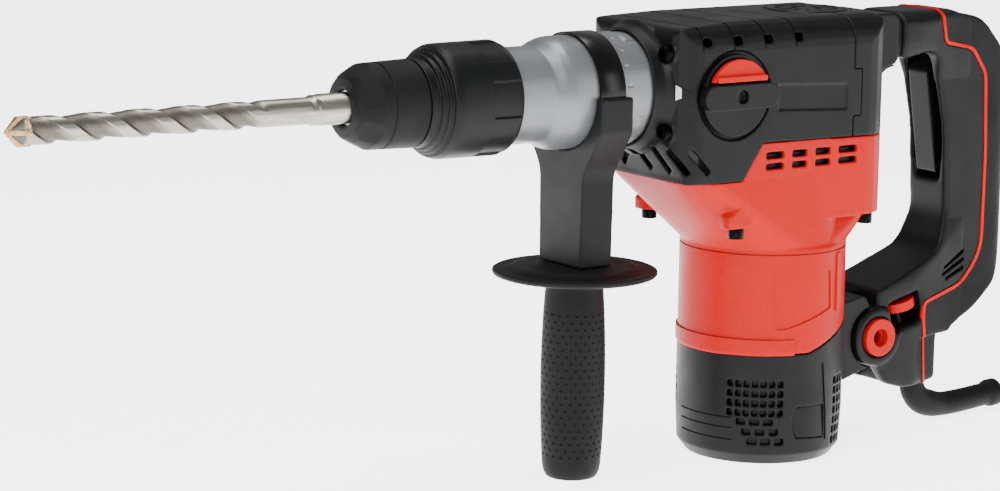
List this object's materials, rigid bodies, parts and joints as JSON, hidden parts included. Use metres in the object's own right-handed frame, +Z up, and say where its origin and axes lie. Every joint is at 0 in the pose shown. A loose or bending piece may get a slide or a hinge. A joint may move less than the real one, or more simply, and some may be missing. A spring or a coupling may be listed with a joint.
{
  "type": "rotary hammer",
  "caption": "Electric rotary hammer with an upright motor, slotted-shank tool holder and masonry bit, swivelling side handle, sprung rear D-handle and power cord.",
  "frame": {"origin": "on the motor axis, at the foot of the motor end cap that the tool stands on", "axes": "+X along the spindle from the drill bit to the rear handle, +Y away from the selector, so the selector side faces -Y, +Z up along the motor axis"},
  "size_m": [0.878, 0.1397, 0.2745],
  "materials": {
    "charcoal_plastic": "fine moulded texture",
    "red_plastic": "satin moulded",
    "black_rubber": "soft matt",
    "black_plastic": "satin",
    "strap_black": "gloss black coated band",
    "black_screws": "black oxide",
    "grey_paint": "silver grey paint",
    "cast_aluminium": "as cast",
    "steel": "ground and oiled",
    "bit_steel": "shot-blasted steel",
    "carbide": "brazed carbide",
    "copper": "enamelled copper",
    "carbon": "pressed carbon",
    "cord_rubber": "smooth rubber sheath"
  },
  "bodies": {
    "housing": {"gear_cover": "charcoal_plastic", "rear_cover": "charcoal_plastic", "motor_housing": "red_plastic", "motor_end_cap": "charcoal_plastic", "gearbox_case": "cast_aluminium", "front_barrel": "grey_paint", "crank_cap": "charcoal_plastic", "index_pointer": "steel", "cover_screws": "black_screws", "motor_screws": "black_screws", "pivot_bracket": "charcoal_plastic", "field_core": "steel", "field_coils": "copper", "brush_holders": "copper", "carbon_brushes": "carbon", "brush_caps": "black_plastic", "armature_bearings": "steel", "spindle_bearings": "steel", "gear_bearings": "steel"},
    "armature": {"armature_shaft": "steel", "armature_core": "steel", "commutator": "copper", "cooling_fan": "black_plastic"},
    "intermediate": {"intermediate_gear": "steel", "bevel_pinion": "steel"},
    "idler_gear": {"crank_gear": "steel"},
    "crank": {"crankshaft": "steel"},
    "piston": {"piston": "steel", "wrist_pin": "steel"},
    "rod": {"connecting_rod": "steel"},
    "spindle": {"hammer_cylinder": "steel", "bevel_ring_gear": "steel", "tool_holder": "steel", "dust_cap": "black_rubber", "lock_rollers": "steel", "sleeve_spring": "steel"},
    "sleeve": {"lock_sleeve": "charcoal_plastic"},
    "striker": {"striker": "steel"},
    "impact_bolt": {"impact_bolt": "steel"},
    "bit": {"drill_bit": "bit_steel", "carbide_tip": "carbide"},
    "side_handle": {"handle_head": "charcoal_plastic"},
    "strap": {"clamp_strap": "strap_black", "tension_bolt": "steel"},
    "grip": {"side_grip": "black_rubber"},
    "selector": {"selector_knob": "charcoal_plastic"},
    "lock_button": {"selector_button": "red_plastic"},
    "rear_handle": {"handle_frame": "charcoal_plastic", "handle_overmould": "black_rubber", "handle_stripe": "red_plastic", "pivot_pin": "red_plastic", "switch_body": "black_plastic", "bellows": "black_rubber", "damper_spring": "steel", "cord_boot": "black_rubber", "power_cord": "cord_rubber", "cord_coil": "cord_rubber", "plug": "black_plastic"},
    "trigger": {"trigger": "black_plastic"},
    "dial": {"speed_dial": "red_plastic"}
  },
  "joints": [
    {"name": "armature_spin", "type": "hinge", "parent": "housing", "child": "armature", "pos_m": [0, 0, 0.1], "axis": [0, 0, 1], "continuous": true},
    {"name": "intermediate_spin", "type": "hinge", "parent": "housing", "child": "intermediate", "pos_m": [-0.03, 0, 0.184], "axis": [0, 0, 1], "continuous": true},
    {"name": "crank_gear_spin", "type": "hinge", "parent": "housing", "child": "idler_gear", "pos_m": [0.02875, 0, 0.184], "axis": [0, 0, 1], "continuous": true},
    {"name": "spindle_spin", "type": "hinge", "parent": "housing", "child": "spindle", "pos_m": [-0.1, 0, 0.233], "axis": [1, 0, 0], "continuous": true},
    {"name": "crank_turn", "type": "hinge", "parent": "housing", "child": "crank", "pos_m": [0.02875, 0, 0.2], "axis": [0, 0, 1], "range_deg": [0, 20.1]},
    {"name": "piston_stroke", "type": "slide", "parent": "housing", "child": "piston", "axis": [1, 0, 0], "range_m": [0, 0.00405]},
    {"name": "rod_swing", "type": "hinge", "parent": "piston", "child": "rod", "pos_m": [-0.05237, 0, 0.233], "axis": [0, 0, 1], "range_deg": [0, 0.6]},
    {"name": "sleeve_pull", "type": "slide", "parent": "spindle", "child": "sleeve", "axis": [1, 0, 0], "range_m": [0, 0.012], "stiffness_N_per_m": 700, "springref_m": -0.006, "deforming": ["sleeve_spring"]},
    {"name": "striker_slide", "type": "slide", "parent": "spindle", "child": "striker", "axis": [1, 0, 0], "range_m": [-0.012, 0]},
    {"name": "impact_bolt_slide", "type": "slide", "parent": "spindle", "child": "impact_bolt", "axis": [1, 0, 0], "range_m": [-0.008, 0]},
    {"name": "bit_slide", "type": "slide", "parent": "spindle", "child": "bit", "axis": [1, 0, 0], "range_m": [-0.01, 0]},
    {"name": "side_handle_swing", "type": "hinge", "parent": "housing", "child": "side_handle", "pos_m": [-0.143, 0, 0.233], "axis": [1, 0, 0], "range_deg": [-180, 180]},
    {"name": "grip_screw", "type": "hinge", "parent": "side_handle", "child": "grip", "pos_m": [-0.143, 0, 0.06], "axis": [0, 0, 1], "range_deg": [0, 720]},
    {"name": "strap_lift", "type": "slide", "parent": "side_handle", "child": "strap", "axis": [0, 0, 1], "range_m": [0, 0.00251]},
    {"name": "selector_turn", "type": "hinge", "parent": "housing", "child": "selector", "pos_m": [-0.064, -0.049, 0.231], "axis": [0, -1, 0], "range_deg": [0, 180]},
    {"name": "lock_button_press", "type": "slide", "parent": "selector", "child": "lock_button", "axis": [0, 1, 0], "range_m": [0, 0.001], "stiffness_N_per_m": 300, "springref_m": -0.002},
    {"name": "handle_float", "type": "hinge", "parent": "housing", "child": "rear_handle", "pos_m": [0.074, 0, 0.067], "axis": [0, -1, 0], "range_deg": [0, 1.1], "stiffness_Nm_per_rad": 120, "springref_deg": -2.86, "deforming": ["bellows", "damper_spring"]},
    {"name": "trigger_squeeze", "type": "hinge", "parent": "rear_handle", "child": "trigger", "pos_m": [0.1385, 0, 0.236], "axis": [0, -1, 0], "range_deg": [0, 4], "stiffness_Nm_per_rad": 0.8, "springref_deg": -11.46},
    {"name": "dial_turn", "type": "hinge", "parent": "rear_handle", "child": "dial", "pos_m": [0.099, -0.0136, 0.083], "axis": [-0.2504, 0, 0.9681], "range_deg": [0, 300]}
  ],
  "couplings": [
    {"joint": "intermediate_spin", "follows": "armature_spin", "ratio": -0.2},
    {"joint": "crank_gear_spin", "follows": "armature_spin", "ratio": -0.21053},
    {"joint": "spindle_spin", "follows": "armature_spin", "ratio": 0.06},
    {"joint": "crank_turn", "follows": "piston_stroke", "rad_per_m": 86.207},
    {"joint": "rod_swing", "follows": "piston_stroke", "rad_per_m": 2.2026},
    {"joint": "strap_lift", "follows": "grip_screw", "m_per_rad": 0.00019894}
  ]
}
